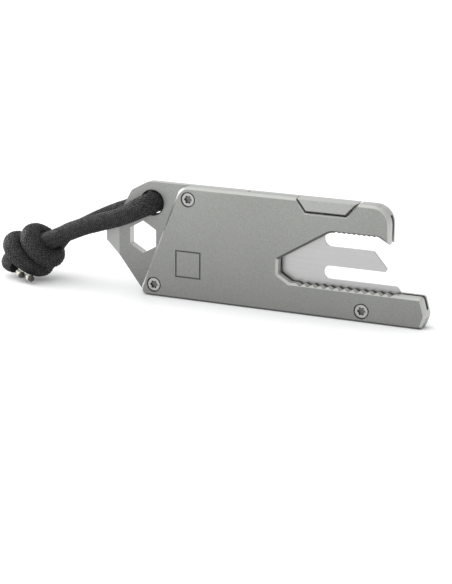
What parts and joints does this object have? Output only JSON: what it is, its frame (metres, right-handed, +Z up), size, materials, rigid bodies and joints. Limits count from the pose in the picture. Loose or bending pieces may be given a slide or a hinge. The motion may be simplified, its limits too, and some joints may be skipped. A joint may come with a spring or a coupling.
{
  "type": "keychain bottle opener",
  "caption": "Flat metal pocket opener with a forked toothed mouth, sliding blade carrier, release latch, hex bit hole, pry tip and a knotted black cord lanyard.",
  "frame": {"origin": "centre of the tool's footprint on the surface it stands on: half way along its length and through its thickness, at its long bottom edge", "axes": "+X along the tool from the cord hole's end to the open mouth, +Y from the front cover to the back, +Z up"},
  "size_m": [0.1013, 0.0136, 0.0254],
  "materials": {
    "blasted_titanium": "bead-blasted grey titanium with bright chamfers",
    "frame_titanium": "satin grey titanium",
    "brushed_carrier": "fine lengthwise brushed steel",
    "screw_steel": "machined steel",
    "black_cord": "braided nylon cord, slight sheen",
    "melted_cord": "melted nylon core, off-white with dark edges"
  },
  "bodies": {
    "tool": {"front_cover": "blasted_titanium", "back_frame": "frame_titanium", "arm_rivet": "screw_steel", "travel_stop_pin": "screw_steel", "drag_spring": "brushed_carrier", "cover_screw_1": "screw_steel", "cover_screw_2": "screw_steel", "cover_screw_3": "screw_steel", "locating_dowel_1": "screw_steel", "locating_dowel_2": "screw_steel", "cord_leg_front": "black_cord", "cord_leg_back": "black_cord", "cord_knot": "black_cord", "cord_end_1": "melted_cord", "cord_end_2": "melted_cord"},
    "carrier": {"blade_carrier": "brushed_carrier"},
    "latch": {"release_latch": "blasted_titanium", "latch_pin": "screw_steel"}
  },
  "joints": [
    {"name": "carrier_slide", "type": "slide", "parent": "tool", "child": "carrier", "axis": [1, 0, 0], "range_m": [0, 0.012]},
    {"name": "latch_press", "type": "hinge", "parent": "tool", "child": "latch", "pos_m": [-0.0013, 0.001, 0.02455], "axis": [0, 0, 1], "range_deg": [0, 2.4], "stiffness_Nm_per_rad": 1.2}
  ]
}
